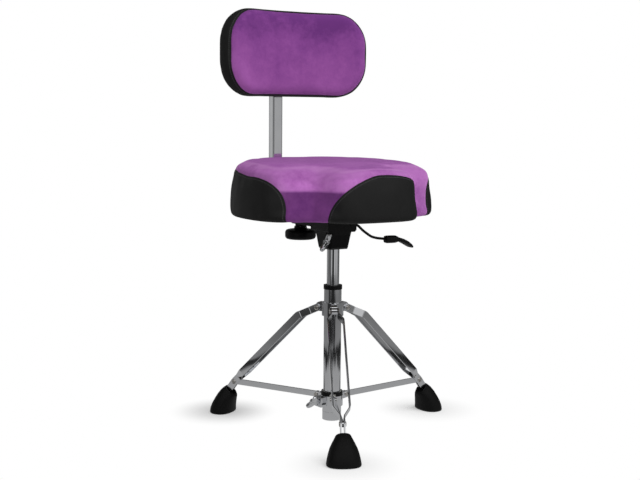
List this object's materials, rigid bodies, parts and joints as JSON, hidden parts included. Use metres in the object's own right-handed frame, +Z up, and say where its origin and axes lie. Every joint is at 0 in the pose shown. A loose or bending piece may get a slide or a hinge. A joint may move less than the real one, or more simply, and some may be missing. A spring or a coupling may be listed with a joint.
{
  "type": "drum throne",
  "caption": "Folding drum throne with a gas-lift column, a lobed velvet seat, black side panels and a sliding padded backrest.",
  "frame": {"origin": "on the floor, in the middle of the throne's outline, 43 mm in +X and 14 mm in +Y from the axis of the column", "axes": "+Z up along the column, the sitter faces -Y, the height lever points along +X"},
  "size_m": [0.5176, 0.5761, 0.916],
  "materials": {
    "chrome": "bright chrome plating",
    "rivet_steel": "zinc-plated steel",
    "black_plastic": "satin black moulded plastic",
    "black_paint": "satin black powder coat",
    "black_casting": "semi-gloss black casting",
    "velvet": "short-pile purple velvet with black vinyl side panels",
    "foam": "open-cell foam, hidden",
    "plywood": "raw plywood",
    "back_board": "black grained board",
    "nylon": "natural nylon",
    "rubber": "matte black moulded rubber"
  },
  "bodies": {
    "column": {"column_tube": "chrome", "top_bushing": "black_plastic", "leg_hub": "chrome", "hub_pins": "rivet_steel", "column_end_sleeve": "chrome", "rod_base_plate": "rivet_steel", "thrust_bearing": "rivet_steel"},
    "gas_rod": {"piston_rod": "rivet_steel", "piston_head": "rivet_steel", "rod_clip": "rivet_steel"},
    "seat": {"gas_cylinder": "chrome", "cylinder_gland": "black_plastic", "seat_receiver": "black_casting", "mounting_plate": "black_paint", "plate_screws": "rivet_steel", "tee_nuts": "rivet_steel", "seat_pan": "plywood", "seat_foam": "foam", "seat_cover": "velvet", "lever_pivot_pin": "black_paint", "bar_guide": "black_paint", "guide_screws": "rivet_steel"},
    "height_lever": {"lever_rod": "black_paint", "lever_grip": "black_plastic"},
    "valve": {"valve_button": "rivet_steel"},
    "receiver_bolt": {"receiver_wing_bolt": "chrome"},
    "depth_clamp": {"depth_knob": "black_plastic", "depth_knob_screw": "rivet_steel"},
    "rear_bar": {"back_bar": "chrome", "bar_end_caps": "black_plastic"},
    "backrest": {"backrest_bracket": "black_paint", "bracket_screws": "rivet_steel", "backrest_pan": "back_board", "backrest_foam": "foam", "backrest_cover": "velvet"},
    "height_clamp": {"height_knob": "black_plastic", "height_knob_screw": "rivet_steel"},
    "collar": {"fold_collar": "chrome", "collar_ring": "black_plastic", "collar_bush": "nylon", "collar_rivets": "rivet_steel"},
    "collar_bolt": {"collar_wing_bolt": "chrome"},
    "brace_1_body": {"brace_1": "chrome"},
    "leg_1": {"leg_1_left_strip": "chrome", "leg_1_right_strip": "chrome", "leg_1_foot": "rubber", "leg_1_rivets": "rivet_steel"},
    "brace_2_body": {"brace_2": "chrome"},
    "leg_2": {"leg_2_left_strip": "chrome", "leg_2_right_strip": "chrome", "leg_2_foot": "rubber", "leg_2_rivets": "rivet_steel"},
    "brace_3_body": {"brace_3": "chrome"},
    "leg_3": {"leg_3_left_strip": "chrome", "leg_3_right_strip": "chrome", "leg_3_foot": "rubber", "leg_3_rivets": "rivet_steel"}
  },
  "joints": [
    {"name": "seat_swivel", "type": "hinge", "parent": "column", "child": "gas_rod", "pos_m": [-0.043, -0.014, 0.3], "axis": [0, 0, 1], "continuous": true},
    {"name": "seat_height", "type": "slide", "parent": "gas_rod", "child": "seat", "axis": [0, 0, 1], "range_m": [-0.07, 0.05]},
    {"name": "lever_tip", "type": "hinge", "parent": "seat", "child": "height_lever", "pos_m": [-0.019, -0.014, 0.448], "axis": [0, -1, 0], "range_deg": [0, 8], "stiffness_Nm_per_rad": 1.5, "springref_deg": -8.59},
    {"name": "valve_press", "type": "slide", "parent": "seat", "child": "valve", "axis": [0, 0, -1], "range_m": [0, 0.004]},
    {"name": "receiver_bolt_turn", "type": "hinge", "parent": "seat", "child": "receiver_bolt", "pos_m": [-0.043, -0.014, 0.413], "axis": [-0.766, -0.6428, 0], "continuous": true},
    {"name": "depth_knob_turn", "type": "hinge", "parent": "seat", "child": "depth_clamp", "pos_m": [-0.043, 0.126, 0.412], "axis": [0, 0, 1], "continuous": true},
    {"name": "bar_depth", "type": "slide", "parent": "seat", "child": "rear_bar", "axis": [0, 1, 0], "range_m": [-0.015, 0.045]},
    {"name": "back_height", "type": "slide", "parent": "rear_bar", "child": "backrest", "axis": [0, 0, 1], "range_m": [-0.06, 0.025]},
    {"name": "height_knob_turn", "type": "hinge", "parent": "backrest", "child": "height_clamp", "pos_m": [-0.043, 0.262, 0.81], "axis": [0, 1, 0], "continuous": true},
    {"name": "collar_slide", "type": "slide", "parent": "column", "child": "collar", "axis": [0, 0, 1], "range_m": [0, 0.1195]},
    {"name": "collar_bolt_turn", "type": "hinge", "parent": "collar", "child": "collar_bolt", "pos_m": [-0.043, -0.014, 0.062], "axis": [-0.9986, -0.0523, 0], "continuous": true},
    {"name": "brace_1_fold", "type": "hinge", "parent": "collar", "child": "brace_1_body", "pos_m": [-0.05934, -0.04608, 0.069], "axis": [0.891, -0.454, 0], "range_deg": [0, 80.84]},
    {"name": "leg_1_fold", "type": "hinge", "parent": "brace_1_body", "child": "leg_1", "pos_m": [-0.15377, -0.23141, 0.074], "axis": [0.891, -0.454, 0], "range_deg": [-40.97, 0]},
    {"name": "brace_2_fold", "type": "hinge", "parent": "collar", "child": "brace_2_body", "pos_m": [-0.00705, -0.01212, 0.069], "axis": [-0.0523, 0.9986, 0], "range_deg": [0, 80.84]},
    {"name": "leg_2_fold", "type": "hinge", "parent": "brace_2_body", "child": "leg_2", "pos_m": [0.20067, -0.00123, 0.074], "axis": [-0.0523, 0.9986, 0], "range_deg": [-40.97, 0]},
    {"name": "brace_3_fold", "type": "hinge", "parent": "collar", "child": "brace_3_body", "pos_m": [-0.06261, 0.01619, 0.069], "axis": [-0.8387, -0.5446, 0], "range_deg": [0, 80.84]},
    {"name": "leg_3_fold", "type": "hinge", "parent": "brace_3_body", "child": "leg_3", "pos_m": [-0.17589, 0.19064, 0.074], "axis": [-0.8387, -0.5446, 0], "range_deg": [-40.97, 0]}
  ],
  "couplings": [
    {"joint": "valve_press", "follows": "lever_tip", "m_per_rad": 0.024},
    {"joint": "brace_1_fold", "follows": "collar_slide", "rad_per_m": 11.8},
    {"joint": "leg_1_fold", "follows": "collar_slide", "rad_per_m": -5.9759},
    {"joint": "brace_2_fold", "follows": "collar_slide", "rad_per_m": 11.8},
    {"joint": "leg_2_fold", "follows": "collar_slide", "rad_per_m": -5.9759},
    {"joint": "brace_3_fold", "follows": "collar_slide", "rad_per_m": 11.8},
    {"joint": "leg_3_fold", "follows": "collar_slide", "rad_per_m": -5.9759}
  ]
}
